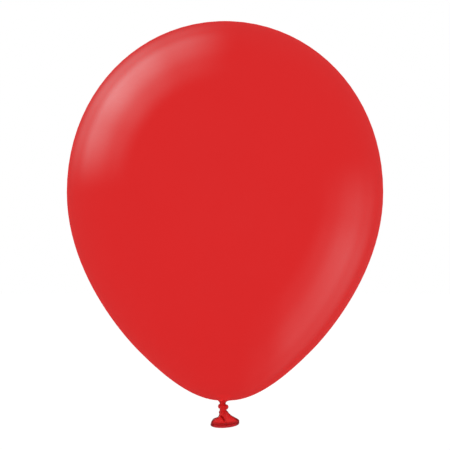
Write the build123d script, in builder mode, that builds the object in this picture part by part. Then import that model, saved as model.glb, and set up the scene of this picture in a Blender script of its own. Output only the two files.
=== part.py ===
"""Tied latex party balloon, 305 mm (12 in) across, from its crown to its rolled lip.

Frame: millimetres. The origin is the middle of the tied neck, where a ribbon goes round it.
+Z runs up to the crown, +X to the right and -Y to the front.

One dipped skin of latex makes the whole object, so the nodes are the stretches that a hand feels
as different pieces: the thin envelope, its throat, the gathered neck, the knot's core with the turn
wrapped round it, the strand below the knot, the flared skirt and its rolled lip. Round seats with a
small gap lie between the stretches that bend on each other, where the soft rubber gives.
"""

import os

from build123d import *

# ---------------------------------------------------------------- driving dimensions
# Envelope: half outline from the crown down to the throat, turned about its own axis.
BELLY_RADIUS = 152.5        # half of the nominal 305 mm
CROWN_HEIGHT = 368.5        # top of the envelope above the tied neck
BELLY_HEIGHT = 203.5        # level of the widest place
SHOULDER_RADIUS = 83.5      # where the flank runs in at 45 degrees
SHOULDER_HEIGHT = 51.0
BASE_HEIGHT = 1.7           # nearly flat underside, at the envelope's axis
ENVELOPE_X = 2.2            # the envelope stands a little to one side of its neck
SKIN = 0.3                  # modelled wall; the blown-up skin is about a tenth of this

# How far each outline curve holds the direction that it has at its end.
CROWN_REACH = 83.0
BELLY_REACH_UP = 96.5
BELLY_REACH_DOWN = 77.0
SHOULDER_REACH_UP = 13.7
SHOULDER_REACH_DOWN = 16.6
BASE_REACH = 38.0

GAP = 0.2                   # between stretches of rubber that bend on each other

NECK_RADIUS = 2.8           # gathered neck, a ball about the origin
THROAT_RADIUS = 4.4         # outside of the throat's collar, round the same centre
THROAT_BOTTOM = 0.7
THROAT_TOP = 2.5

CORE_RADIUS = 3.1           # strand that the knot's turn is wrapped round
CORE_X = 0.5
CORE_TOP = -2.3
CORE_BOTTOM = -6.7

WRAP_X = 0.65
WRAP_HEIGHT = -4.1
WRAP_RING_RADIUS = 3.45     # middle line of the turn
WRAP_THICKNESS = 2.7        # from the core outwards
WRAP_WIDTH = 4.4            # along the neck
WRAP_TILT = 8.0             # degrees; the turn lies lower on its right

STRAND_RADIUS = 2.9         # pinched strand, a ball below the knot
STRAND_X = 0.7
STRAND_HEIGHT = -8.4

SKIRT_SKIN = 0.5            # the skirt isn't stretched, so its wall is thicker
SKIRT_X = 2.6               # middle of the flare
SKIRT_SOLID_BOTTOM = -12.4  # above this the skirt is gathered solid
# Sections of the flare: level, middle, half width, half depth. The last is below the cut rim.
SKIRT_SECTIONS = [
    (-9.7, 1.3, 4.1, 3.4),
    (SKIRT_SOLID_BOTTOM, 2.5, 6.2, 4.0),
    (-15.2, SKIRT_X, 11.0, 4.5),
    (-19.5, SKIRT_X, 12.8, 4.9),
    (-26.0, SKIRT_X, 13.9, 5.4),
]
RIM_CENTRE_HEIGHT = -3.5    # the rim hangs as an arc about this level
RIM_RADIUS = 18.9           # from there down to the skirt's edge
LIP_THICKNESS = 2.0         # rolled bead round the mouth
LIP_PROUD = 0.8             # how far it stands out from the skirt
LIP_ROUNDING = 0.85
CUTTER_REACH = 20.0         # half length of the cylinders that cut the rim

os.makedirs("parts", exist_ok=True)


def skin_outline(inset: float) -> None:
    """Draw the envelope's half outline in the sketch in hand, moved into the rubber by inset."""
    belly = (BELLY_RADIUS - inset, BELLY_HEIGHT)
    shoulder = (SHOULDER_RADIUS - inset / 2**0.5, SHOULDER_HEIGHT + inset / 2**0.5)
    crown_height = CROWN_HEIGHT - inset
    base_height = BASE_HEIGHT + inset
    Bezier(
        (0, crown_height),
        (CROWN_REACH, crown_height),
        (belly[0], BELLY_HEIGHT + BELLY_REACH_UP),
        belly,
    )
    Bezier(
        belly,
        (belly[0], BELLY_HEIGHT - BELLY_REACH_DOWN),
        (shoulder[0] + SHOULDER_REACH_UP, shoulder[1] + SHOULDER_REACH_UP),
        shoulder,
    )
    Bezier(
        shoulder,
        (shoulder[0] - SHOULDER_REACH_DOWN, shoulder[1] - SHOULDER_REACH_DOWN),
        (BASE_REACH, base_height),
        (0, base_height),
    )


def flare(grow: float, sections: list = SKIRT_SECTIONS) -> Part:
    """Solid flare through the given sections, grown outwards by grow."""
    with BuildPart() as body:
        for level, middle, half_width, half_depth in sections:
            with BuildSketch(Plane((middle, 0, level))):
                Ellipse(half_width + grow, half_depth + grow)
        loft()
    return body.part


def rim_cutter(radius: float) -> Part:
    """Cylinder along Y, whose underside is the arc that the mouth hangs in."""
    with BuildPart() as cutter:
        with BuildSketch(Plane((SKIRT_X, 0, RIM_CENTRE_HEIGHT), x_dir=(1, 0, 0), z_dir=(0, -1, 0))):
            Circle(radius)
        extrude(amount=CUTTER_REACH, both=True)
    return cutter.part


# ---------------------------------------------------------------- envelope
envelope_plane = Plane((ENVELOPE_X, 0, 0), x_dir=(1, 0, 0), z_dir=(0, -1, 0))
with BuildPart() as envelope:
    with BuildSketch(envelope_plane):
        with BuildLine():
            skin_outline(0)
            skin_outline(SKIN)
            Line((0, CROWN_HEIGHT), (0, CROWN_HEIGHT - SKIN))
            Line((0, BASE_HEIGHT), (0, BASE_HEIGHT + SKIN))
        make_face()
    revolve(axis=Axis((ENVELOPE_X, 0, 0), (0, 0, 1)))
    Sphere(THROAT_RADIUS + GAP, mode=Mode.SUBTRACT)
envelope.part.label = "envelope"
export_step(envelope.part, "parts/envelope.step")

# ---------------------------------------------------------------- throat
# A ring between the neck's ball and the round edge of the envelope's opening.
with BuildPart() as throat_collar:
    with BuildSketch(Plane.XY.offset(THROAT_BOTTOM)):
        Circle(THROAT_RADIUS)
    extrude(amount=THROAT_TOP - THROAT_BOTTOM)
    Sphere(THROAT_RADIUS, mode=Mode.INTERSECT)
    Sphere(NECK_RADIUS + GAP, mode=Mode.SUBTRACT)
throat_collar.part.label = "throat_collar"
export_step(throat_collar.part, "parts/throat_collar.step")

# ---------------------------------------------------------------- gathered neck
with BuildPart() as neck_gather:
    Sphere(NECK_RADIUS)
neck_gather.part.label = "neck_gather"
export_step(neck_gather.part, "parts/neck_gather.step")

# ---------------------------------------------------------------- knot
# The core has a round seat at each end, for the neck above it and the strand below it.
with BuildPart() as knot_core:
    with BuildSketch(Plane((CORE_X, 0, CORE_BOTTOM))):
        Circle(CORE_RADIUS)
    extrude(amount=CORE_TOP - CORE_BOTTOM)
    Sphere(NECK_RADIUS + GAP, mode=Mode.SUBTRACT)
    with Locations((STRAND_X, 0, STRAND_HEIGHT)):
        Sphere(STRAND_RADIUS + GAP, mode=Mode.SUBTRACT)
knot_core.part.label = "knot_core"
export_step(knot_core.part, "parts/knot_core.step")

# The turn is a flat band, tilted on the core and meeting it face to face.
band_direction = Vector(1, 0, 0).rotate(Axis.Y, WRAP_TILT)
band_plane = Plane((WRAP_X, 0, WRAP_HEIGHT), x_dir=band_direction, z_dir=(0, -1, 0))
with BuildPart() as knot_wrap:
    with BuildSketch(band_plane):
        with Locations((WRAP_RING_RADIUS, 0)):
            Ellipse(WRAP_THICKNESS / 2, WRAP_WIDTH / 2)
    revolve(axis=Axis(band_plane.origin, band_plane.y_dir))
    with Locations((CORE_X, 0, WRAP_HEIGHT)):
        Cylinder(CORE_RADIUS, 2 * WRAP_WIDTH, mode=Mode.SUBTRACT)
knot_wrap.part.label = "knot_wrap"
export_step(knot_wrap.part, "parts/knot_wrap.step")

# ---------------------------------------------------------------- strand below the knot
with BuildPart() as tail_strand:
    with Locations((STRAND_X, 0, STRAND_HEIGHT)):
        Sphere(STRAND_RADIUS)
tail_strand.part.label = "tail_strand"
export_step(tail_strand.part, "parts/tail_strand.step")

# ---------------------------------------------------------------- skirt
skirt_outside = flare(0)
skirt_inside = flare(-SKIRT_SKIN, SKIRT_SECTIONS[1:])
skirt_cutter = rim_cutter(RIM_RADIUS)
with BuildPart() as tail_skirt:
    add(skirt_outside)
    add(skirt_inside, mode=Mode.SUBTRACT)
    add(skirt_cutter, mode=Mode.INTERSECT)
    with Locations((STRAND_X, 0, STRAND_HEIGHT)):
        Sphere(STRAND_RADIUS + GAP, mode=Mode.SUBTRACT)
tail_skirt.part.label = "tail_skirt"
export_step(tail_skirt.part, "parts/tail_skirt.step")

# ---------------------------------------------------------------- rolled lip
lip_outside = flare(LIP_PROUD)
lip_inside = flare(LIP_PROUD - LIP_THICKNESS)
lip_cutter = rim_cutter(RIM_RADIUS + LIP_THICKNESS)
with BuildPart() as rolled_lip:
    add(lip_outside)
    add(lip_inside, mode=Mode.SUBTRACT)
    add(lip_cutter, mode=Mode.INTERSECT)
    add(skirt_cutter, mode=Mode.SUBTRACT)
    fillet(rolled_lip.edges(), radius=LIP_ROUNDING)
rolled_lip.part.label = "rolled_lip"
export_step(rolled_lip.part, "parts/rolled_lip.step")
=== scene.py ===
"""Tied latex party balloon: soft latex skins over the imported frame, in a pale studio.

The balloon is made as its maker's hand would find it: a blown-up envelope that gathers into a pleated
neck, an overhand knot wrapped round that neck, and a slack tail that flares to a rolled lip. Lengths
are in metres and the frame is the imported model's: the origin is the tied neck, +Z runs up to the
crown, +X to the right and -Y to the front.
"""

from __future__ import annotations

import logging
import math
import random
from dataclasses import dataclass, replace
from enum import Enum
from typing import Callable

import bmesh
import bpy
import numpy as np
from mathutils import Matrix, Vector

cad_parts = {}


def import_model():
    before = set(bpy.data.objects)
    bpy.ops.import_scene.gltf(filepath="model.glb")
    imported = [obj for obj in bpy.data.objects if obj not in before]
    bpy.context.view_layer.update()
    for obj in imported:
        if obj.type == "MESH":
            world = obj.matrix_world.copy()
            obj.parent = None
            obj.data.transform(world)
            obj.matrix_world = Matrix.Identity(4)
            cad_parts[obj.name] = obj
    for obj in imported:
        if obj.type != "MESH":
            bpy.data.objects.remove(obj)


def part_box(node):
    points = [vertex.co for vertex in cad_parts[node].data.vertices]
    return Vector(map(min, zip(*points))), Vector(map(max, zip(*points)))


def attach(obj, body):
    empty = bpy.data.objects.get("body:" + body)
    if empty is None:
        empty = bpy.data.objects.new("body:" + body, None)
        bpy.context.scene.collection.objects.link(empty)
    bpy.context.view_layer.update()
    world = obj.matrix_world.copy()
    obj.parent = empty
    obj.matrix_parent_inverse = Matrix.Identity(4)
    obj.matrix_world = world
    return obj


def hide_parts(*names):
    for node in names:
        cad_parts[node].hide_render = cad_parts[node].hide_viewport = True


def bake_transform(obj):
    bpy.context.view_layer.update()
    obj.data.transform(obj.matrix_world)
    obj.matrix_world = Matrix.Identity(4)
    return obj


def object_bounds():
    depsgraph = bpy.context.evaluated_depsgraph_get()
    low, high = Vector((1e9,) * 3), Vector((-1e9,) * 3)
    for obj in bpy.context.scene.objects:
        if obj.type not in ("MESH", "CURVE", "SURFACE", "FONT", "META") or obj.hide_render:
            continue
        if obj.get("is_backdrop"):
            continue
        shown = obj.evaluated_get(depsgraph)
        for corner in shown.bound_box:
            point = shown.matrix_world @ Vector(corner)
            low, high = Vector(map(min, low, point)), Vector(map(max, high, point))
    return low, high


LOG = logging.getLogger("balloon")

MM = 0.001
FULL_TURN = 2 * math.pi
MERGE_DISTANCE = 1e-6
SPIN_ERROR = 1e-5
# Name of the point attribute that carries painted shade: creases, grooves and edges darkened in the colour.
PAINTED_SHADE = "thickness"

Points = np.ndarray
Colour = tuple[float, float, float]
Stops = tuple[tuple[float, float], ...]


# ---------------------------------------------------------------- hands: selecting and shaping
def smooth_step(value: Points | float, low: float, high: float) -> Points:
    """Ease from 0 at low to 1 at high.

    Args:
        value: The number or array to ease.
        low: Where the ease begins.
        high: Where the ease ends.

    Returns:
        The eased values, between 0 and 1.
    """
    t = np.clip((value - low) / (high - low), 0.0, 1.0)
    return t * t * (3 - 2 * t)


def start_clean() -> None:
    """Leave object mode's selection empty, so that an operator acts only on what comes next."""
    if bpy.context.object and bpy.context.object.mode != "OBJECT":
        bpy.ops.object.mode_set(mode="OBJECT")
    bpy.ops.object.select_all(action="DESELECT")


def take_up(piece: bpy.types.Object) -> None:
    """Make one piece the only selected and active object.

    Args:
        piece: The object to work on.
    """
    start_clean()
    piece.select_set(True)
    bpy.context.view_layer.objects.active = piece


def name_piece(name: str) -> bpy.types.Object:
    """Name the active object and its mesh.

    Args:
        name: The piece's name.

    Returns:
        The object.
    """
    piece = bpy.context.object
    piece.name = name
    piece.data.name = name
    return piece


def start_ring(
    name: str, centre: Vector, half_width: float, half_depth: float, columns: int
) -> bpy.types.Object:
    """Add an open elliptical ring and stay in edit mode with all of it selected.

    Args:
        name: Name of the new piece.
        centre: Middle of the ring.
        half_width: Half size along X.
        half_depth: Half size along Y.
        columns: Number of vertices.

    Returns:
        The new object, in edit mode.
    """
    start_clean()
    bpy.ops.mesh.primitive_circle_add(vertices=columns, radius=half_width, location=centre)
    bpy.ops.object.transform_apply(location=True, rotation=True, scale=True)
    piece = name_piece(name)
    bpy.ops.object.mode_set(mode="EDIT")
    bpy.ops.mesh.select_all(action="SELECT")
    bpy.ops.transform.resize(value=(1, half_depth / half_width, 1), center_override=centre)
    return piece


def points_of(piece: bpy.types.Object) -> Points:
    """Read a piece's points, out of edit mode.

    Args:
        piece: The piece to read.

    Returns:
        Its points, one per row.
    """
    if piece.mode != "OBJECT":
        bpy.ops.object.mode_set(mode="OBJECT")
    flat = np.zeros(len(piece.data.vertices) * 3)
    piece.data.vertices.foreach_get("co", flat)
    return flat.reshape(-1, 3)


def press(piece: bpy.types.Object, move: Callable[[Points], Points]) -> None:
    """Shape a soft piece by hand: every point goes where move puts it.

    Args:
        piece: The piece to shape.
        move: Takes the points, one per row, and gives their new places.
    """
    moved = move(points_of(piece))
    piece.data.vertices.foreach_set("co", moved.ravel())
    piece.data.update()


def note_painted_shade(piece: bpy.types.Object, share: Callable[[Points], Points]) -> None:
    """Note on each point how much shade is painted into its colour there, in creases, grooves and edges,
    for its finish to read.

    Args:
        piece: The piece to mark.
        share: Takes the points, one per row, and gives values from 0, no painted shade, to 1, full painted
            shade.
    """
    values = np.clip(share(points_of(piece)), 0, 1)
    layer = piece.data.attributes.new(PAINTED_SHADE, "FLOAT", "POINT")
    layer.data.foreach_set("value", values.astype(np.float32))


def face_outwards(piece: bpy.types.Object) -> None:
    """Merge doubled points and point every face out of the rubber.

    Args:
        piece: The piece to mend.
    """
    take_up(piece)
    bpy.ops.object.mode_set(mode="EDIT")
    bpy.ops.mesh.select_all(action="SELECT")
    bpy.ops.mesh.remove_doubles(threshold=MERGE_DISTANCE)
    bpy.ops.mesh.normals_make_consistent(inside=False)
    bpy.ops.object.mode_set(mode="OBJECT")


def give_wall(piece: bpy.types.Object, thickness: float) -> None:
    """Thicken a skin inwards.

    Args:
        piece: The skin.
        thickness: Thickness of its wall.
    """
    take_up(piece)
    wall = piece.modifiers.new("wall", "SOLIDIFY")
    wall.thickness = thickness
    wall.offset = -1.0
    bpy.ops.object.modifier_apply(modifier=wall.name)


# ---------------------------------------------------------------- finishes
def add_node(
    tree: bpy.types.NodeTree, kind: str, inputs: dict[str | int, object], **settings: object
) -> bpy.types.Node:
    """Add a node with its settings and its inputs.

    Args:
        tree: The node tree.
        kind: Blender's name for the node's type.
        inputs: By name or number, each input's value, or the socket that feeds it.
        **settings: Values for the node's own settings.

    Returns:
        The node.
    """
    node = tree.nodes.new(kind)
    for setting, value in settings.items():
        setattr(node, setting, value)
    for key, value in inputs.items():
        if isinstance(value, bpy.types.NodeSocket):
            tree.links.new(value, node.inputs[key])
        else:
            node.inputs[key].default_value = value
    return node


@dataclass(frozen=True)
class LatexFinish:
    """Dip-moulded red latex in one state of stretch.

    Attributes:
        name: Name of the finish.
        slot: The record's material slot that it matches; not used.
        colour: Colour of the rubber where it is evenly stretched.
        thick_and_shade_colour: Colour where it is thicker, and the colour of the shade painted into
            creases, grooves and edges.
        roughness: Middle roughness of the surface.
        specular: Specular level of the surface.
        grain_size: Size of the finest grain.
        grain_depth: Depth of that grain.
        cloud_size: Size of the soft clouds in the dip's thickness.
        cloud_share: How strongly those clouds show, from 0 to 1.
        thick_below: Level under which the rubber is fully thick, or None.
        thin_above: Level over which it is fully thin.
        sheen: Weight of the powdery sheen.
        sheen_roughness: Roughness of that sheen.
        sheen_tint: Colour of that sheen.
        cloud_edges: Values of the cloud noise at which a cloud starts and is full.
        powder_fineness: How many times finer the powder's patches are than the clouds.
        powder_swing: How far the powder moves the roughness up and down, as a share of it.
        grain_strength: Strength of the grain's bump.
    """

    name: str
    slot: str
    colour: Colour
    thick_and_shade_colour: Colour
    roughness: float
    specular: float
    grain_size: float
    grain_depth: float
    cloud_size: float
    cloud_share: float
    thick_below: float | None = None
    thin_above: float = 0.0
    sheen: float = 0.0
    sheen_roughness: float = 0.4
    sheen_tint: Colour = (1.0, 0.05, 0.05)
    cloud_edges: tuple[float, float] = (0.4, 0.7)
    powder_fineness: float = 2.3
    powder_swing: float = 0.2
    grain_strength: float = 0.5

    def build(self) -> bpy.types.Material:
        """Make the node material.

        Returns:
            The finished material.
        """
        material = bpy.data.materials.new(self.name)
        material.use_nodes = True
        tree = material.node_tree
        shader = tree.nodes["Principled BSDF"]
        shader.inputs["Specular IOR Level"].default_value = self.specular
        shader.inputs["Sheen Weight"].default_value = self.sheen
        shader.inputs["Sheen Roughness"].default_value = self.sheen_roughness
        shader.inputs["Sheen Tint"].default_value = (*self.sheen_tint, 1)
        place = tree.nodes.new("ShaderNodeTexCoord").outputs["Object"]

        def noise(fineness: float, detail: float) -> bpy.types.NodeSocket:
            """Add a noise over the piece."""
            inputs = {"Vector": place, "Scale": fineness, "Detail": detail}
            return add_node(tree, "ShaderNodeTexNoise", inputs).outputs["Fac"]

        # The colour darkens where the rubber is thicker and where shade is painted into creases, grooves
        # and edges.
        tint = {
            "A": (*self.colour, 1),
            "B": (*self.thick_and_shade_colour, 1),
            "Factor": self._add_thickness_and_shade(tree, place, noise(1 / self.cloud_size, 3)),
        }
        colour = add_node(tree, "ShaderNodeMix", tint, data_type="RGBA")
        tree.links.new(colour.outputs["Result"], shader.inputs["Base Color"])

        powder = {
            "Value": noise(self.powder_fineness / self.cloud_size, 6),
            "To Min": self.roughness * (1 - self.powder_swing),
            "To Max": self.roughness * (1 + self.powder_swing),
        }
        dull = add_node(tree, "ShaderNodeMapRange", powder)
        tree.links.new(dull.outputs["Result"], shader.inputs["Roughness"])

        grain = {
            "Height": noise(1 / self.grain_size, 4),
            "Strength": self.grain_strength,
            "Distance": self.grain_depth,
        }
        bump = add_node(tree, "ShaderNodeBump", grain)
        tree.links.new(bump.outputs["Normal"], shader.inputs["Normal"])
        return material

    def _add_thickness_and_shade(
        self, tree: bpy.types.NodeTree, place: bpy.types.NodeSocket, clouds: bpy.types.NodeSocket
    ) -> bpy.types.NodeSocket:
        """Find how far the colour darkens: the largest of its thickness clouds, its noted painted shade and
        its nearness to the neck.

        Args:
            tree: The material's node tree.
            place: Socket that gives the place on the piece.
            clouds: Socket that gives the cloud noise.

        Returns:
            A socket that gives the thickness and painted shade, from 0 to 1.
        """

        def larger(first: bpy.types.NodeSocket, second: bpy.types.NodeSocket) -> bpy.types.NodeSocket:
            """Take the larger of two values."""
            node = add_node(tree, "ShaderNodeMath", {0: first, 1: second}, operation="MAXIMUM")
            return node.outputs["Value"]

        low, high = self.cloud_edges
        cloudy = {"Value": clouds, "From Min": low, "From Max": high, "To Max": self.cloud_share}
        share = add_node(tree, "ShaderNodeMapRange", cloudy).outputs["Result"]
        # The noted values are painted shade: creases, grooves and edges darkened in the colour.
        noted = add_node(tree, "ShaderNodeAttribute", {}, attribute_name=PAINTED_SHADE)
        thickness = larger(share, noted.outputs["Fac"])
        if self.thick_below is None:
            return thickness
        near = {
            "Value": add_node(tree, "ShaderNodeSeparateXYZ", {"Vector": place}).outputs["Z"],
            "From Min": self.thick_below,
            "From Max": self.thin_above,
            "To Min": 1,
            "To Max": 0,
        }
        height = add_node(tree, "ShaderNodeMapRange", near, interpolation_type="SMOOTHSTEP")
        return larger(height.outputs["Result"], thickness)

    def dress(self, piece: bpy.types.Object, sharp_angle: float = 60.0) -> None:
        """Give a piece this finish and smooth faces.

        Args:
            piece: The piece to dress.
            sharp_angle: Edges sharper than this many degrees stay sharp.
        """
        take_up(piece)
        piece.data.materials.clear()
        piece.data.materials.append(bpy.data.materials.get(self.name) or self.build())
        bpy.ops.object.shade_smooth_by_angle(angle=math.radians(sharp_angle))


STRETCHED = LatexFinish(
    name="blown_up_latex",
    slot="stretched_latex",
    colour=(0.715, 0.0205, 0.0205),
    thick_and_shade_colour=(0.66, 0.0185, 0.0185),
    roughness=0.13,
    specular=0.3,
    grain_size=0.8 * MM,
    grain_depth=0.006 * MM,
    cloud_size=70 * MM,
    cloud_share=0.12,
    thick_below=1 * MM,
    thin_above=20 * MM,
    sheen=1.0,
)
GATHERED = LatexFinish(
    name="pleated_latex",
    slot="gathered_latex",
    colour=(0.84, 0.013, 0.013),
    thick_and_shade_colour=(0.20, 0.004, 0.006),
    roughness=0.3,
    specular=0.35,
    grain_size=0.5 * MM,
    grain_depth=0.02 * MM,
    cloud_size=5 * MM,
    cloud_share=0.12,
)
SLACK = replace(GATHERED, name="unstretched_latex", slot="slack_latex", roughness=0.32)
ROLLED = replace(
    GATHERED,
    name="rolled_up_latex",
    slot="rolled_latex",
    colour=(0.575, 0.02, 0.028),
    thick_and_shade_colour=(0.2, 0.006, 0.009),
    roughness=0.32,
    specular=0.4,
    grain_size=0.6 * MM,
    grain_depth=0.03 * MM,
    cloud_size=4 * MM,
    cloud_share=0.25,
)


# ---------------------------------------------------------------- pleats
@dataclass
class Pleats:
    """Uneven lengthwise pleats that the rubber falls into where it is drawn together.

    Attributes:
        count: Number of pleats round the neck.
        seed: Seed of their unevenness.
        twist: How far they turn round the neck for each metre along it.
        stray: How far a pleat can be from its even place, as a share of the step between two.
        depth_range: Least and greatest depth of a pleat, as a share of the deepest.
        width_range: Least and greatest half width, as a share of the step.
    """

    count: int = 21
    seed: int = 4
    twist: float = 0.0
    stray: float = 0.28
    depth_range: tuple[float, float] = (0.45, 1.0)
    width_range: tuple[float, float] = (0.16, 0.3)

    def __post_init__(self) -> None:
        """Draw the angle, depth and width of each pleat."""
        chance = random.Random(self.seed)
        step = FULL_TURN / self.count
        strays = [chance.uniform(-self.stray, self.stray) for _ in range(self.count)]
        self.angles = [(k + stray) * step for k, stray in enumerate(strays)]
        self.depths = [chance.uniform(*self.depth_range) for _ in range(self.count)]
        self.widths = [step * chance.uniform(*self.width_range) for _ in range(self.count)]

    def grooves(self, x: Points, y: Points, level: Points) -> Points:
        """Say how deep in a groove each place is.

        Args:
            x: Distance right of the neck's middle.
            y: Distance behind the neck's middle.
            level: Height, for the twist.

        Returns:
            Values from 0, on a ridge, to 1, at the bottom of the deepest groove.
        """
        angle = np.arctan2(y, x) - self.twist * level
        deep = np.zeros_like(angle)
        for middle, depth, width in zip(self.angles, self.depths, self.widths):
            away = (angle - middle + math.pi) % FULL_TURN - math.pi
            deep = np.maximum(deep, depth * np.exp(-((away / width) ** 2)))
        return deep


@dataclass(frozen=True)
class Station:
    """One ring of a drawn-out tube: its level, its middle and its half width and half depth."""

    level: float
    middle: float
    half_width: float
    half_depth: float

    @property
    def centre(self) -> Vector:
        """Middle of the ring."""
        return Vector((self.middle, 0, self.level))


def draw_tube(name: str, stations: list[Station], columns: int) -> bpy.types.Object:
    """Extrude a ring through its stations.

    Args:
        name: Name of the piece.
        stations: The rings, in order along the tube.
        columns: Vertices in each ring.

    Returns:
        The tube, in edit mode.
    """
    first = stations[0]
    tube = start_ring(name, first.centre, first.half_width, first.half_depth, columns)
    for last, station in zip(stations, stations[1:]):
        move = station.centre - last.centre
        wider, deeper = station.half_width / last.half_width, station.half_depth / last.half_depth
        bpy.ops.mesh.extrude_region_move(TRANSFORM_OT_translate={"value": move})
        bpy.ops.transform.resize(value=(wider, deeper, 1), center_override=station.centre)
    return tube


def ease_stations(knots: list[Station], steps: int) -> list[Station]:
    """Fill a tube in between its knots with a smooth curve through them.

    Args:
        knots: The rings that fix the shape.
        steps: Rings from one knot to the next.

    Returns:
        The knots with rings between them.
    """
    rows = np.array([(k.level, k.middle, k.half_width, k.half_depth) for k in knots])
    padded = np.vstack([2 * rows[0] - rows[1], rows, 2 * rows[-1] - rows[-2]])
    stations = []
    for before, here, there, after in zip(padded, padded[1:], padded[2:], padded[3:]):
        for t in (step / steps for step in range(steps)):
            inward = 2 * here + (there - before) * t
            bend = (2 * before - 5 * here + 4 * there - after) * t**2
            turn = (3 * here - 3 * there + after - before) * t**3
            stations.append(Station(*(0.5 * (inward + bend + turn))))
    stations.append(knots[-1])
    return stations


# ---------------------------------------------------------------- envelope
@dataclass
class Envelope:
    """The blown-up skin, from its crown down to the ring where the neck begins.

    Attributes:
        axis_x: How far its axis stands beside the neck.
        belly_radius: Its largest radius.
        crown_level: Height of its top.
        pleats: The pleats that run out from the neck.
    """

    axis_x: float
    belly_radius: float
    crown_level: float
    pleats: Pleats
    belly_level: float = 203.5 * MM
    shoulder_radius: float = 83.5 * MM
    shoulder_level: float = 51.0 * MM
    base_radius: float = 7.5 * MM
    base_level: float = 2.9 * MM
    neck_radius: float = 3.35 * MM
    neck_level: float = 0.95 * MM
    crown_reach: float = 83.0 * MM
    belly_reach_up: float = 96.5 * MM
    belly_reach_down: float = 77.0 * MM
    shoulder_reach_up: float = 13.7 * MM
    shoulder_reach_down: float = 16.6 * MM
    base_reach: float = 29.0 * MM
    base_rise: float = 2.0 * MM
    base_flare: tuple[float, float] = (-2.6 * MM, -0.18 * MM)
    neck_reach: float = 0.5 * MM
    wall: float = 0.3 * MM
    gather_radius: float = 8.5 * MM
    pleat_depth: float = 0.55 * MM
    pleat_reach: float = 27.0 * MM
    # Strength of the shade painted into the pleat grooves.
    pleat_shade: float = 0.3
    bend_margins: tuple[float, float] = (0.1 * MM, 0.5 * MM)
    columns: int = 192
    span_steps: int = 22

    @classmethod
    def from_frame(cls, pleats: Pleats) -> Envelope:
        """Size the envelope by its node in the frame.

        Args:
            pleats: The pleats that run out from the neck.

        Returns:
            An envelope of the frame's size.
        """
        low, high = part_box("envelope")
        return cls((low.x + high.x) / 2, (high.x - low.x) / 2, high.z, pleats)

    def build(self) -> bpy.types.Object:
        """Spin the half outline round the envelope's axis, gather it and give it its wall.

        Returns:
            The envelope's skin.
        """
        skin = self._draw_outline()
        bpy.ops.object.mode_set(mode="EDIT")
        bpy.ops.mesh.select_all(action="SELECT")
        bpy.ops.mesh.spin(
            steps=self.columns,
            angle=FULL_TURN,
            center=(self.axis_x, 0, 0),
            axis=(0, 0, 1),
        )
        face_outwards(skin)
        press(skin, self._slide)
        # Painted shade: the pleat grooves near the neck are darkened in the colour.
        note_painted_shade(skin, lambda points: self.pleat_shade * self._grooves(points))
        press(skin, self._pleat)
        give_wall(skin, self.wall)
        return skin

    def _draw_outline(self) -> bpy.types.Object:
        """Draw the half outline as a curve with four spans and make it a row of edges.

        Returns:
            The outline, as a mesh.
        """
        start_clean()
        bpy.ops.curve.primitive_bezier_curve_add(location=(0, 0, 0))
        curve = bpy.context.object
        spline = curve.data.splines[0]
        spline.bezier_points.add(3)
        spline.resolution_u = self.span_steps
        radius = self.belly_radius
        up, down = self.shoulder_reach_up, self.shoulder_reach_down
        knots = [
            ((0, self.crown_level), (0, 0), (self.crown_reach, 0)),
            ((radius, self.belly_level), (0, self.belly_reach_up), (0, -self.belly_reach_down)),
            ((self.shoulder_radius, self.shoulder_level), (up, up), (-down, -down)),
            ((self.base_radius, self.base_level), (self.base_reach, self.base_rise), self.base_flare),
            ((self.neck_radius, self.neck_level), (0, self.neck_reach), (0, -self.neck_reach)),
        ]
        for point, (place, before, after) in zip(spline.bezier_points, knots):
            point.handle_left_type = "FREE"
            point.handle_right_type = "FREE"
            co = Vector((self.axis_x + place[0], 0, place[1]))
            point.co = co
            point.handle_left = co + Vector((before[0], 0, before[1]))
            point.handle_right = co + Vector((after[0], 0, after[1]))
        bpy.ops.object.convert(target="MESH")
        return name_piece("envelope_skin")

    def _slide(self, points: Points) -> Points:
        """Slide the middle of the underside across to the neck.

        Args:
            points: The skin's points.

        Returns:
            Their new places.
        """
        x, y, z = points.T
        radius = np.hypot(x - self.axis_x, y)
        near = 1 - smooth_step(radius, self.neck_radius, self.gather_radius)
        return np.column_stack([x - self.axis_x * np.where(z < self.shoulder_level, near, 0), y, z])

    def _grooves(self, points: Points) -> Points:
        """Say how deep in a pleat each point is, fading away from the neck.

        Args:
            points: The skin's points, after their slide.

        Returns:
            Values from 0 to 1.
        """
        x, y, z = points.T
        fade = 1 - smooth_step(np.hypot(x, y), self.neck_radius, self.pleat_reach)
        return np.where(z < self.shoulder_level, self.pleats.grooves(x, y, z) * fade, 0)

    def _pleat(self, points: Points) -> Points:
        """Press the pleats in: inwards at the neck and upwards across the underside.

        Args:
            points: The skin's points, after their slide.

        Returns:
            Their new places.
        """
        x, y, z = points.T
        deep = self._grooves(points) * self.pleat_depth
        radius = np.hypot(x, y)
        flat = smooth_step(radius, self.neck_radius + self.wall, self.base_radius)
        inward = deep * (1 - flat) / np.maximum(radius, MM)
        return np.column_stack([x * (1 - inward), y * (1 - inward), z + deep * flat])

    def dress(self, skin: bpy.types.Object) -> None:
        """Finish the skin, hide the nodes that it stands for and fix its place.

        Args:
            skin: The envelope's skin.
        """
        STRETCHED.dress(skin)
        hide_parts("envelope", "throat_collar")
        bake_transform(skin)


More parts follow.
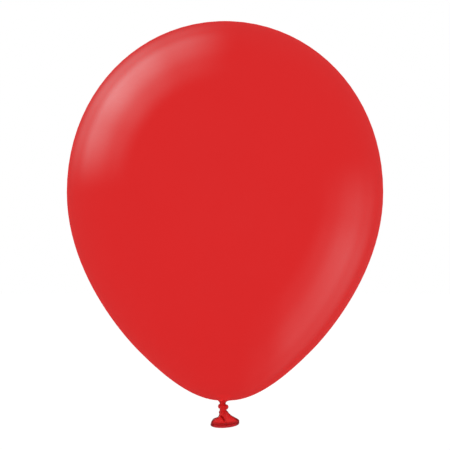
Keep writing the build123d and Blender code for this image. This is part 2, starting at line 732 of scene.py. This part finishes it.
# ---------------------------------------------------------------- gathered strands
@dataclass
class Strand:
    """A length of neck drawn together into a pleated strand.

    Attributes:
        name: Name of the piece.
        knots: The rings that fix its shape, in order downwards.
        pleats: Its pleats.
        replaces: The node that it stands for.
        upper: The body that its top follows.
        lower: The body below it, or None for a strand that is held whole to its upper body.
        bend: Levels where the bend begins and ends; not used.
        pleat_depth: Depth of the deepest pleat.
        side_start: Share of the way round to its side where the strand starts to darken.
        side_full: Share where it is darkest.
        pleat_shade: Strength of the shade painted into a pleat's bottom at the front, and how much more at
            the side.
        side_shade: Strength of the shade painted down the sides between the pleats.
    """

    name: str
    knots: list[Station]
    pleats: Pleats
    replaces: str
    upper: str
    lower: str | None = None
    bend: tuple[float, float] = (0.0, 0.0)
    pleat_depth: float = 0.5 * MM
    side_start: float = 0.5
    side_full: float = 0.9
    pleat_shade: tuple[float, float] = (0.25, 0.45)
    side_shade: float = 0.38
    columns: int = 192
    steps: int = 5

    def build(self) -> bpy.types.Object:
        """Draw the strand and press its pleats.

        Returns:
            The strand's skin.
        """
        skin = draw_tube(self.name, ease_stations(self.knots, self.steps), self.columns)
        face_outwards(skin)
        # Painted shade: the pleats and the two sides are darkened in the colour.
        note_painted_shade(skin, self._darken)
        press(skin, self._pleat)
        return skin

    def _look_round(self, points: Points) -> tuple[Points, Points, Points]:
        """Find the strand's middle line, each point's way from it and its depth in a pleat.

        Args:
            points: The skin's points.

        Returns:
            How far right the middle line is, how far right of it the point is, and the depth from 0 to 1.
        """
        rings = self.knots[::-1]
        middle = np.interp(points[:, 2], [ring.level for ring in rings], [ring.middle for ring in rings])
        across = points[:, 0] - middle
        return middle, across, self.pleats.grooves(across, points[:, 1], points[:, 2])

    def _darken(self, points: Points) -> Points:
        """Say where shade is painted: in every pleat, and more so down the strand's two sides.

        Args:
            points: The skin's points.

        Returns:
            Values from 0 to 1.
        """
        _, across, deep = self._look_round(points)
        side = smooth_step(np.abs(across) / np.hypot(across, points[:, 1]), self.side_start, self.side_full)
        front, more = self.pleat_shade
        return (front + more * side) * deep + self.side_shade * side

    def _pleat(self, points: Points) -> Points:
        """Press the pleats towards the strand's own middle line.

        Args:
            points: The skin's points.

        Returns:
            Their new places.
        """
        middle, across, deep = self._look_round(points)
        share = 1 - deep * self.pleat_depth / np.hypot(across, points[:, 1])
        return np.column_stack([middle + across * share, points[:, 1] * share, points[:, 2]])

    def dress(self, skin: bpy.types.Object) -> None:
        """Finish the strand, and hold it to its upper body when it has no lower one; else fix its place.

        Args:
            skin: The strand's skin.
        """
        GATHERED.dress(skin)
        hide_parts(self.replaces)
        if self.lower is None:
            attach(skin, self.upper)
        else:
            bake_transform(skin)


# ---------------------------------------------------------------- knot
@dataclass
class Coil:
    """The turn of neck that passes behind the knot's strand and tucks in at its front.

    Attributes:
        centre: Middle of the turn.
        ring_radius: Radius of its middle line.
        half_thickness: Half of the band's size out from the core.
        half_width: Half of its size along the neck.
        tilt: How much lower its right side lies, in radians.
        ridges: Lengthwise ridges on the band.
        ridge_depth: Their depth, as a share of the band's half size.
        ridge_skew: How unevenly they stand round the band.
        ridge_shade: Strength of the shade painted at the bottom between two ridges.
        first_angle: Where the turn begins, from the right and towards the back, in radians.
        turn: How far it goes round.
        tuck: How far each end turns on into the core.
        tuck_radius: Radius of that turn, at the band's middle.
    """

    centre: Vector
    ring_radius: float = 3.5 * MM
    half_thickness: float = 1.75 * MM
    half_width: float = 2.35 * MM
    tilt: float = math.radians(6)
    ridges: int = 9
    ridge_depth: float = 0.14
    ridge_skew: float = 0.8
    ridge_shade: float = 0.7
    columns: int = 72
    first_angle: float = math.radians(-12)
    turn: float = math.radians(204)
    turn_steps: int = 52
    tuck: float = math.radians(105)
    tuck_steps: int = 18
    tuck_radius: float = 0.9 * MM

    def build(self) -> bpy.types.Object:
        """Spin the band round the back of the core and turn both its ends inwards.

        The spin operator turns clockwise about its axis, so it is given the axis upside down.

        Returns:
            The coil's skin.
        """
        axis = Vector((math.sin(self.tilt), 0, math.cos(self.tilt)))
        out = self._way_out(self.first_angle)
        skin = self._start_band(self.centre + out * self.ring_radius, out, axis)
        bpy.ops.mesh.spin(steps=self.turn_steps, angle=self.turn, center=self.centre, axis=-axis)
        self._tuck_in(skin, axis, self.first_angle + self.turn, 1)
        self._tuck_in(skin, axis, self.first_angle, -1)
        face_outwards(skin)
        return skin

    def _way_out(self, angle: float) -> Vector:
        """Give the direction away from the core at an angle of the turn."""
        across = Vector((math.cos(self.tilt), 0, -math.sin(self.tilt)))
        return across * math.cos(angle) + Vector((0, 1, 0)) * math.sin(angle)

    def _start_band(self, middle: Vector, out: Vector, axis: Vector) -> bpy.types.Object:
        """Add the band's ridged section where the turn begins.

        Args:
            middle: Middle of the section.
            out: Direction away from the core.
            axis: Direction along the neck.

        Returns:
            The section, in edit mode and all selected.
        """
        skin = start_ring("knot_coil", Vector(), 1.0, 1.0, self.columns)

        def between_ridges(points: Points) -> Points:
            """Say how deep between two ridges each point of the ring is."""
            angle = np.arctan2(points[:, 1], points[:, 0])
            return 0.5 + 0.5 * np.cos(self.ridges * angle + self.ridge_skew * np.sin(2 * angle))

        def place(points: Points) -> Points:
            """Ridge the ring and stand it across the turn.

            Args:
                points: The ring's points, flat and of radius 1.

            Returns:
                Their new places.
            """
            angle = np.arctan2(points[:, 1], points[:, 0])
            lobed = 1 - self.ridge_depth * between_ridges(points)
            radial = (lobed * np.cos(angle) * self.half_thickness)[:, None] * np.array(out)
            along = (lobed * np.sin(angle) * self.half_width)[:, None] * np.array(axis)
            return np.array(middle) + radial + along

        # Painted shade: the hollows between the ridges are darkened in the colour.
        note_painted_shade(skin, lambda points: self.ridge_shade * between_ridges(points) ** 2)
        press(skin, place)
        bpy.ops.object.mode_set(mode="EDIT")
        bpy.ops.mesh.select_all(action="SELECT")
        return skin

    def _tuck_in(self, skin: bpy.types.Object, axis: Vector, angle: float, way: int) -> None:
        """Spin one end of the band on round a nearer centre, so that it dives into the core.

        Args:
            skin: The coil's skin, in edit mode.
            axis: Direction along the neck.
            angle: Where that end is on the turn.
            way: 1 for the far end and -1 for the near end.
        """
        out = self._way_out(angle)
        end = self.centre + out * self.ring_radius
        flow = axis.cross(out)
        bpy.ops.mesh.select_all(action="DESELECT")
        bpy.ops.mesh.select_mode(type="VERT")
        shape = bmesh.from_edit_mesh(skin.data)
        for point in shape.verts:
            away = point.co - end
            point.select = abs(away.dot(flow)) < SPIN_ERROR and away.length < 2 * self.half_width
        shape.select_flush_mode()
        bmesh.update_edit_mesh(skin.data)
        bpy.ops.mesh.spin(
            steps=self.tuck_steps,
            angle=self.tuck * way,
            center=end - out * self.tuck_radius,
            axis=-axis,
        )

    def dress(self, skin: bpy.types.Object) -> None:
        """Finish the coil and let it ride with the knot.

        Args:
            skin: The coil's skin.
        """
        GATHERED.dress(skin)
        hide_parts("knot_wrap")
        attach(skin, "knot")


# ---------------------------------------------------------------- tail
# The flare's rings from its rim upwards, as they are seen from the front, in millimetres: the height of
# the two ends, where the left and the right end are, half of the depth from front to back, and how much
# lower the middle hangs than the ends.
FLARE_RINGS = (
    (-19.6, -10.6, 14.8, 4.3, 2.7),
    (-18.6, -11.35, 15.9, 4.2, 2.65),
    (-17.6, -11.3, 16.0, 3.5, 2.8),
    (-16.8, -11.0, 15.6, 3.5, 2.55),
    (-16.0, -10.5, 14.9, 4.2, 2.2),
    (-15.2, -9.85, 13.9, 4.4, 1.8),
    (-14.2, -8.5, 12.6, 4.4, 1.2),
    (-13.2, -5.5, 11.0, 4.2, 0.7),
    (-12.3, -4.3, 9.3, 4.0, 0.4),
    (-11.3, -3.75, 7.9, 3.9, 0.2),
    (-10.3, -3.4, 6.9, 3.8, 0.1),
    (-9.4, -3.55, 5.8, 3.75, 0.0),
    (-8.7, -3.8, 5.5, 3.7, 0.0),
)


class Side(Enum):
    """The side of the flattened skirt that a fold is on."""

    FRONT = -1
    BACK = 1


@dataclass(frozen=True)
class Fold:
    """A crease that runs down one side of the skirt, with a lobe that laps over it from the left.

    Attributes:
        side: The side that it is on.
        levels: Heights of points on the crease, upwards.
        places: Where the crease is at those heights, from left to right.
        depth: How far the crease goes in.
        lap: How far the lobe on its left stands out.
        rim_share: How much of the fold is left at the lip.
        rim_levels: Depths below the neck between which it fades towards the lip.
        opening: How far down from its top the fold is full.
        crease_width: Half width of the crease on its steep left side.
        spread: How far it takes to fade, over the lobe on the left and over the slope on the right.
        shade_depth: Strength of the shade painted at the bottom of the crease.
        shade_widths: Half widths of that shade, on the left and on the right.
        turned_away: Depths from front to back between which it fades round to the other side.
    """

    side: Side
    levels: tuple[float, ...]
    places: tuple[float, ...]
    depth: float
    lap: float
    rim_share: float = 0.25
    rim_levels: tuple[float, float] = (13.5, 17.5)
    opening: float = 2.0
    crease_width: float = 0.55
    spread: tuple[float, float] = (4.0, 2.2)
    shade_depth: float = 0.48
    shade_widths: tuple[float, float] = (0.8, 2.0)
    turned_away: tuple[float, float] = (0.3, 1.8)

    def crease(self, x: Points, y: Points, level: Points) -> tuple[Points, Points]:
        """Say how the fold moves and shades each point.

        Args:
            x: Distance right of the neck's middle.
            y: Distance behind it.
            level: Height along the skirt, before it hangs.

        Returns:
            The moves towards the skirt's inside, and the shade painted in the crease, from 0 to 1.
        """
        off = x - np.interp(level, self.levels, self.places)
        right = self.depth * np.exp(-np.maximum(off, 0) / self.spread[1])
        narrow = np.exp(-((off / self.crease_width) ** 2))
        lobe = self.lap * (1 - narrow) * np.exp(np.minimum(off, 0) / self.spread[0])
        moves = np.where(off > 0, right, self.depth * narrow - lobe)
        # Painted shade along the crease, wider on its right.
        width = np.where(off > 0, self.shade_widths[1], self.shade_widths[0])
        shades = self.shade_depth * np.exp(-((off / width) ** 2))

        top = self.levels[-1]
        started = smooth_step(-level, -top, self.opening - top)
        ended = 1 - (1 - self.rim_share) * smooth_step(-level, *self.rim_levels)
        share = started * ended * smooth_step(y * self.side.value, *self.turned_away)
        return moves * share, shades * share


@dataclass
class Tail:
    """The slack flare below the knot, with its folds, and the rolled lip round its mouth.

    Sizes here are in millimetres, but for the wall.

    Attributes:
        pleats: The pleats that run on from the neck.
        folds: Its folds.
        wall: Thickness of the rubber.
        lip_radius: Radius of the rolled bead.
        roll_step: How much of that radius is lost over one turn of the roll.
        roll_start: Where round the bead the sheet's end shows, in radians.
        lean: How much lower a ring hangs on its left, for each millimetre of its sag.
        pleat_depth: Depth of the deepest pleat.
        pleat_fade: Depths below the neck between which the pleats fade out.
        pleat_clear: Distances from a ring's middle between which they fade in, for the closed top.
        pleat_shade: Strength of the shade painted at the bottom of a pleat.
        band: Heights over the rim where the painted dark band starts, is full and has faded out.
        band_shade: Strength of the shade painted into that band.
        end_starts: Shares of the half width where the ends start to darken, on skirt and lip.
        end_shades: Strength of the shade painted at the ends, on skirt and lip.
        closure: How far each ring rises that closes the top inside the strand, and its share of the last.
    """

    pleats: Pleats
    folds: tuple[Fold, ...] = (
        Fold(
            side=Side.FRONT,
            levels=(-19.4, -17.0, -15.9, -13.9, -12.0, -10.8),
            places=(3.6, 2.9, 2.1, 0.3, -1.7, -2.9),
            depth=1.8,
            lap=1.6,
        ),
        Fold(Side.BACK, (-19.5, -14.2, -11.0), (-3.5, -1.5, 0.6), 1.6, 0.7),
        Fold(Side.BACK, (-19.5, -14.2, -11.6), (8.0, 6.0, 3.4), 1.1, 0.5),
    )
    columns: int = 216
    steps: int = 4
    wall: float = 0.45 * MM
    lip_radius: float = 1.35
    roll_step: float = 0.16
    roll_start: float = 0.6
    lean: float = 0.8 / 2.7
    pleat_depth: float = 0.5
    pleat_fade: tuple[float, float] = (11.0, 18.5)
    pleat_clear: tuple[float, float] = (0.5, 2.5)
    pleat_shade: float = 0.3
    band: tuple[float, float, float] = (0.7, 1.8, 5.0)
    band_shade: float = 0.6
    end_starts: tuple[float, float] = (0.76, 0.72)
    end_shades: tuple[float, float] = (0.95, 0.85)
    closure: tuple[tuple[float, float], ...] = ((0.25, 0.8), (0.15, 0.5), (0.05, 0.3))

    def build(self) -> tuple[bpy.types.Object, bpy.types.Object]:
        """Draw the flare up from its rim, fold it, roll the lip round its edge and give it its wall.

        Returns:
            The skirt and the lip.
        """
        knots = [
            Station(level * MM, (left + right) / 2 * MM, (right - left) / 2 * MM, half_depth * MM)
            for level, left, right, half_depth, _ in FLARE_RINGS
        ]
        stations = ease_stations(knots, self.steps)
        for rise, share in self.closure:
            top = stations[-1]
            width, depth = top.half_width * share, top.half_depth * share
            stations.append(Station(top.level + rise * MM, top.middle, width, depth))
        skirt = draw_tube("tail_skirt_skin", stations, self.columns)
        bpy.ops.mesh.merge(type="CENTER")
        face_outwards(skirt)
        # Painted shade: a band above the lip, both edges, the pleats and the folds are darkened in the
        # colour.
        note_painted_shade(skirt, self._darken)
        press(skirt, self._hang)
        lip = self._roll_lip(skirt)
        give_wall(skirt, self.wall)
        return skirt, lip

    def _spans(self, level: Points) -> tuple[Points, Points, Points]:
        """Find the middle, the half width and the sag of the flare at each level.

        Args:
            level: Heights along the skirt, before it hangs.

        Returns:
            The three, in millimetres.
        """
        levels, lefts, rights, _, sags = zip(*FLARE_RINGS)
        left, right, sag = (np.interp(level, levels, values) for values in (lefts, rights, sags))
        return (left + right) / 2, (right - left) / 2, sag

    def _grooves(self, points: Points) -> Points:
        """Say how deep in a pleat each point is, fading down the flare.

        Args:
            points: The skirt's points, before it hangs.

        Returns:
            Values from 0 to 1.
        """
        x, y, level = points.T / MM
        middle, half, _ = self._spans(level)
        widened = half / self._spans(FLARE_RINGS[-1][0])[1]
        deep = self.pleats.grooves(x - middle, y * widened, level * MM)
        clear_of_top = smooth_step(np.hypot(x - middle, y), *self.pleat_clear)
        return deep * (1 - smooth_step(-level, *self.pleat_fade)) * clear_of_top

    def _darken(self, points: Points) -> Points:
        """Say where shade is painted: in a band along the lip, down both edges, in every pleat and in every
        fold.

        Args:
            points: The skirt's points, before it hangs.

        Returns:
            Values from 0 to 1.
        """
        x, y, level = points.T / MM
        middle, half, _ = self._spans(level)
        rise = level - FLARE_RINGS[0][0]
        start, full, end = self.band
        band = self.band_shade * smooth_step(rise, start, full) * (1 - smooth_step(rise, full, end))
        ends = self.end_shades[0] * smooth_step(np.abs(x - middle) / half, self.end_starts[0], 1.0)
        share = np.maximum(self.pleat_shade * self._grooves(points), np.maximum(band, ends))
        for fold in self.folds:
            share = np.maximum(share, fold.crease(x, y, level)[1])
        return share

    def _hang(self, points: Points) -> Points:
        """Press the pleats and the folds into the flare, and let its rings sag.

        Args:
            points: The skirt's points.

        Returns:
            Their new places.
        """
        x, y, level = points.T / MM
        middle, half, sag = self._spans(level)
        deep = self._grooves(points)
        for fold in self.folds:
            y = y - fold.side.value * fold.crease(x, y, level)[0]
        share = 1 - deep * self.pleat_depth / np.maximum(np.hypot(x - middle, y), 1.0)
        x = middle + (x - middle) * share
        y = y * share
        across = np.clip((x - middle) / half, -1, 1)
        z = level - sag * np.sqrt(1 - across**2) + self.lean * across * sag
        return np.column_stack([x, y, z]) * MM

    def _roll_lip(self, skirt: bpy.types.Object) -> bpy.types.Object:
        """Roll a bead round the skirt's open edge.

        Args:
            skirt: The skirt, before it has its wall.

        Returns:
            The lip.
        """
        roll = self._draw_roll()
        take_up(skirt)
        bpy.ops.object.mode_set(mode="EDIT")
        bpy.ops.mesh.select_mode(type="EDGE")
        bpy.ops.mesh.select_all(action="DESELECT")
        bpy.ops.mesh.select_non_manifold()
        bpy.ops.mesh.duplicate()
        bpy.ops.mesh.separate(type="SELECTED")
        bpy.ops.object.mode_set(mode="OBJECT")
        lip = next(piece for piece in bpy.context.selected_objects if piece is not skirt)
        take_up(lip)
        bpy.ops.object.convert(target="CURVE")
        lip = name_piece("rolled_lip_bead")
        lip.data.twist_mode = "Z_UP"
        lip.data.bevel_mode = "OBJECT"
        lip.data.bevel_object = roll
        bpy.ops.object.convert(target="MESH")
        bpy.data.objects.remove(roll)
        face_outwards(lip)
        # Painted shade: the bead's two ends are darkened in the colour.
        note_painted_shade(lip, self._darken_ends)
        return lip

    def _darken_ends(self, points: Points) -> Points:
        """Say where shade is painted on the bead, at the two ends of the flattened mouth.

        Args:
            points: The bead's points.

        Returns:
            Values from 0 to 1.
        """
        middle, half, _ = self._spans(FLARE_RINGS[0][0])
        across = np.abs(points[:, 0] / MM - middle) / half
        return self.end_shades[1] * smooth_step(across, self.end_starts[1], 1.0)

    def _draw_roll(self) -> bpy.types.Object:
        """Draw the bead's section, where the sheet's end shows as a small step.

        Returns:
            The section, as a closed curve.
        """
        start_clean()
        bpy.ops.mesh.primitive_circle_add(vertices=28, radius=self.lip_radius * MM)
        section = name_piece("lip_section")

        def wind(points: Points) -> Points:
            """Wind the circle into one turn of a roll."""
            angle = (np.arctan2(points[:, 1], points[:, 0]) - self.roll_start) % FULL_TURN
            return points * (1 - self.roll_step * angle / FULL_TURN)[:, None]

        press(section, wind)
        take_up(section)
        bpy.ops.object.convert(target="CURVE")
        return bpy.context.object

    def dress(self, skirt: bpy.types.Object, lip: bpy.types.Object) -> None:
        """Finish the skirt and the lip, fix the skirt's place and hold the lip to the tail.

        Args:
            skirt: The skirt's skin.
            lip: The lip's bead.
        """
        SLACK.dress(skirt)
        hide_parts("tail_skirt")
        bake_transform(skirt)
        ROLLED.dress(lip)
        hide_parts("rolled_lip")
        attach(lip, "tail")


# ---------------------------------------------------------------- studio
@dataclass(frozen=True)
class Softbox:
    """A curved soft light far off, an arc round the line of sight from the front.

    Attributes:
        name: Its name; not used.
        rings: Angle from the front, in degrees, and brightness, as pairs.
        sweep: Angle round the line of sight, anticlockwise from the right, and share, as pairs.
        strength: Its brightness.
    """

    name: str
    rings: Stops
    sweep: Stops
    strength: float


@dataclass
class Studio:
    """A white room with an even light, two curved softboxes, a pale floor and the camera.

    Attributes:
        lens: The camera's focal length, in millimetres.
        frame_height: How much of the object's plane the camera sees.
        floor_drop: How far the floor lies below the object.
        floor_glow: How much the floor shines of itself, to keep its shade pale.
        ambient: The even light on dull surfaces.
        gloss_ambient: The even light in reflections.
        gloss_tint: Colour of every reflection.
        softboxes: The soft lights seen in reflections.
    """

    lens: float = 200.0
    frame_height: float = 434.4 * MM
    floor_drop: float = 120.0 * MM
    floor_radius: float = 9.0
    floor_colour: Colour = (0.93, 0.93, 0.93)
    floor_roughness: float = 0.9
    floor_glow: float = 0.1
    ambient: float = 1.0
    gloss_ambient: float = 0.02
    gloss_tint: Colour = (0.6, 1.0, 1.0)
    softboxes: tuple[Softbox, ...] = (
        Softbox(
            name="upper_left",
            rings=((72, 0.0), (90, 0.5), (109, 1.0), (120, 0.93), (136, 0.27), (162, 0.02)),
            sweep=((85, 0.0), (112, 0.42), (128, 0.82), (142, 1.0), (157, 0.63), (180, 0.0)),
            strength=3.6,
        ),
        Softbox(
            name="lower_right",
            rings=((70, 0.0), (84, 0.42), (100, 1.0), (110, 0.95), (124, 0.4), (145, 0.02)),
            sweep=((-82, 0.0), (-66, 0.12), (-50, 0.6), (-23, 1.0), (-8, 0.55), (14, 0.0)),
            strength=1.4,
        ),
    )

    def build(self, low: Vector, high: Vector) -> None:
        """Make the room, the floor and the camera round the object.

        Args:
            low: The object's lowest corner.
            high: Its highest corner.
        """
        self._light_room()
        self._lay_floor(low.z - self.floor_drop)
        self._stand_camera((low + high) / 2)

    def _light_room(self) -> None:
        """Make the world: white to the eye, even on dull surfaces, and softboxes in glossy ones."""
        world = bpy.data.worlds.new("white_room")
        bpy.context.scene.world = world
        world.cycles.sampling_method = "NONE"
        world.use_nodes = True
        tree = world.node_tree

        def compute(operation: str, *values: bpy.types.NodeSocket | float) -> bpy.types.NodeSocket:
            """Add a Math node and give its output."""
            node = add_node(tree, "ShaderNodeMath", dict(enumerate(values)), operation=operation)
            return node.outputs["Value"]

        def shade(angle: bpy.types.NodeSocket, stops: Stops) -> bpy.types.NodeSocket:
            """Add a ramp over an angle, from -180 to 180 degrees.

            Args:
                angle: The angle, in radians.
                stops: Angle in degrees and share, as pairs.

            Returns:
                The share at that angle.
            """
            turn = compute("MULTIPLY_ADD", angle, 1 / FULL_TURN, 0.5)
            node = add_node(tree, "ShaderNodeValToRGB", {"Fac": turn})
            node.color_ramp.interpolation = "EASE"
            places = [((degrees + 180) / 360, (share, share, share, 1)) for degrees, share in stops]
            ends = node.color_ramp.elements
            ends[0].position, ends[1].position = places[0][0], places[-1][0]
            ends[0].color, ends[1].color = places[0][1], places[-1][1]
            for position, colour in places[1:-1]:
                ends.new(position).color = colour
            return node.outputs["Color"]

        place = tree.nodes.new("ShaderNodeTexCoord").outputs["Generated"]
        split = add_node(tree, "ShaderNodeSeparateXYZ", {"Vector": place}).outputs
        from_front = compute("ARCCOSINE", compute("MULTIPLY", split["Y"], -1.0))
        round_axis = compute("ARCTAN2", split["Z"], split["X"])
        gloss: bpy.types.NodeSocket | float = self.gloss_ambient
        for box in self.softboxes:
            glow = compute("MULTIPLY", shade(from_front, box.rings), shade(round_axis, box.sweep))
            gloss = compute("ADD", gloss, compute("MULTIPLY", glow, box.strength))

        path = tree.nodes.new("ShaderNodeLightPath").outputs
        seen, glossy = path["Is Camera Ray"], path["Is Glossy Ray"]
        even = compute("MULTIPLY", compute("SUBTRACT", 1.0, glossy), self.ambient)
        lit = compute("ADD", even, compute("MULTIPLY", glossy, gloss))
        strength = compute("ADD", seen, compute("MULTIPLY", compute("SUBTRACT", 1.0, seen), lit))
        colours = {"A": (1, 1, 1, 1), "B": (*self.gloss_tint, 1), "Factor": glossy}
        tint = add_node(tree, "ShaderNodeMix", colours, data_type="RGBA")
        background = tree.nodes["Background"]
        tree.links.new(tint.outputs["Result"], background.inputs["Color"])
        tree.links.new(strength, background.inputs["Strength"])

    def _lay_floor(self, level: float) -> None:
        """Lay a large round pale floor.

        Args:
            level: Its height.
        """
        start_clean()
        place = (0, 0, level)
        radius = self.floor_radius
        bpy.ops.mesh.primitive_circle_add(vertices=96, radius=radius, fill_type="NGON", location=place)
        floor = name_piece("floor")
        pale = bpy.data.materials.new("pale_floor")
        pale.use_nodes = True
        shader = pale.node_tree.nodes["Principled BSDF"]
        shader.inputs["Base Color"].default_value = (*self.floor_colour, 1)
        shader.inputs["Roughness"].default_value = self.floor_roughness
        shader.inputs["Specular IOR Level"].default_value = 0.0
        shader.inputs["Emission Color"].default_value = (1, 1, 1, 1)
        shader.inputs["Emission Strength"].default_value = self.floor_glow
        floor.data.materials.append(pale)
        floor.visible_glossy = False
        floor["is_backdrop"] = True

    def _stand_camera(self, centre: Vector) -> None:
        """Stand the camera level with the object's middle, straight in front of it.

        Args:
            centre: The object's middle.
        """
        camera = bpy.data.cameras.new("camera")
        camera.lens = self.lens
        half_angle = math.atan(camera.sensor_width / 2 / self.lens)
        stand = bpy.data.objects.new("camera", camera)
        bpy.context.scene.collection.objects.link(stand)
        stand.location = centre - Vector((0, self.frame_height / 2 / math.tan(half_angle), 0))
        stand.rotation_euler = (math.pi / 2, 0, 0)
        camera.clip_end = 50.0
        bpy.context.scene.camera = stand
        bpy.context.scene.view_settings.view_transform = "Standard"


# ---------------------------------------------------------------- the balloon
# Level, middle, half width and half depth of the neck's rings, in millimetres, downwards.
NECK_RINGS = (
    (0.95, 0.0, 3.35, 3.35),
    (0.5, 0.0, 3.05, 3.05),
    (0.0, 0.0, 2.93, 2.93),
    (-0.9, 0.0, 3.0, 3.0),
    (-1.4, 0.05, 3.1, 3.1),
    (-2.0, 0.15, 3.25, 3.25),
    (-3.0, 0.35, 3.5, 3.6),
    (-4.6, 0.45, 3.55, 3.7),
    (-5.6, 0.45, 3.5, 3.55),
    (-6.2, 0.43, 3.43, 3.45),
    (-7.0, 0.4, 3.5, 3.4),
    (-7.8, 0.65, 4.2, 3.6),
    (-8.35, 0.82, 4.57, 3.68),
    (-8.7, 0.85, 4.65, 3.7),
)


def make_strands(pleats: Pleats) -> list[Strand]:
    """Cut the neck into its strands, each between two of the neck's rings.

    Args:
        pleats: The pleats that run on through all of them.

    Returns:
        The strands, from the envelope down to the tail.
    """
    rings = [Station(*(value * MM for value in row)) for row in NECK_RINGS]
    upper, lower, tail = (0.9 * MM, -0.85 * MM), (-0.95 * MM, -1.95 * MM), (-5.7 * MM, -8.5 * MM)
    return [
        Strand("neck_upper_skin", rings[:4], pleats, "neck_gather", "throat", "neck", upper),
        Strand("neck_lower_skin", rings[3:6], pleats, "neck_gather", "neck", "knot", lower),
        Strand("knot_strand_skin", rings[5:9], pleats, "knot_core", "knot"),
        Strand("strand_skin", rings[8:], pleats, "tail_strand", "knot", "strand", tail),
    ]


def report(piece: bpy.types.Object) -> None:
    """Log a finished piece with its size."""
    LOG.info("%s: %d points, %s", piece.name, len(piece.data.vertices), piece.dimensions)


def main() -> None:
    """Build the balloon piece by piece, then the studio round it."""
    logging.basicConfig(level=logging.INFO, format="%(name)s: %(message)s")
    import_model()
    cad_low, cad_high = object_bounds()

    pleats = Pleats(twist=60.0)
    envelope = Envelope.from_frame(pleats)
    skin = envelope.build()
    envelope.dress(skin)
    report(skin)

    for strand in make_strands(pleats):
        skin = strand.build()
        strand.dress(skin)
        report(skin)

    coil = Coil(centre=Vector((0.5, 0, -3.25)) * MM)
    skin = coil.build()
    coil.dress(skin)
    report(skin)

    tail = Tail(pleats)
    skirt, lip = tail.build()
    tail.dress(skirt, lip)
    report(skirt)
    report(lip)

    Studio().build(cad_low, cad_high)


if __name__ == "__main__":
    main()
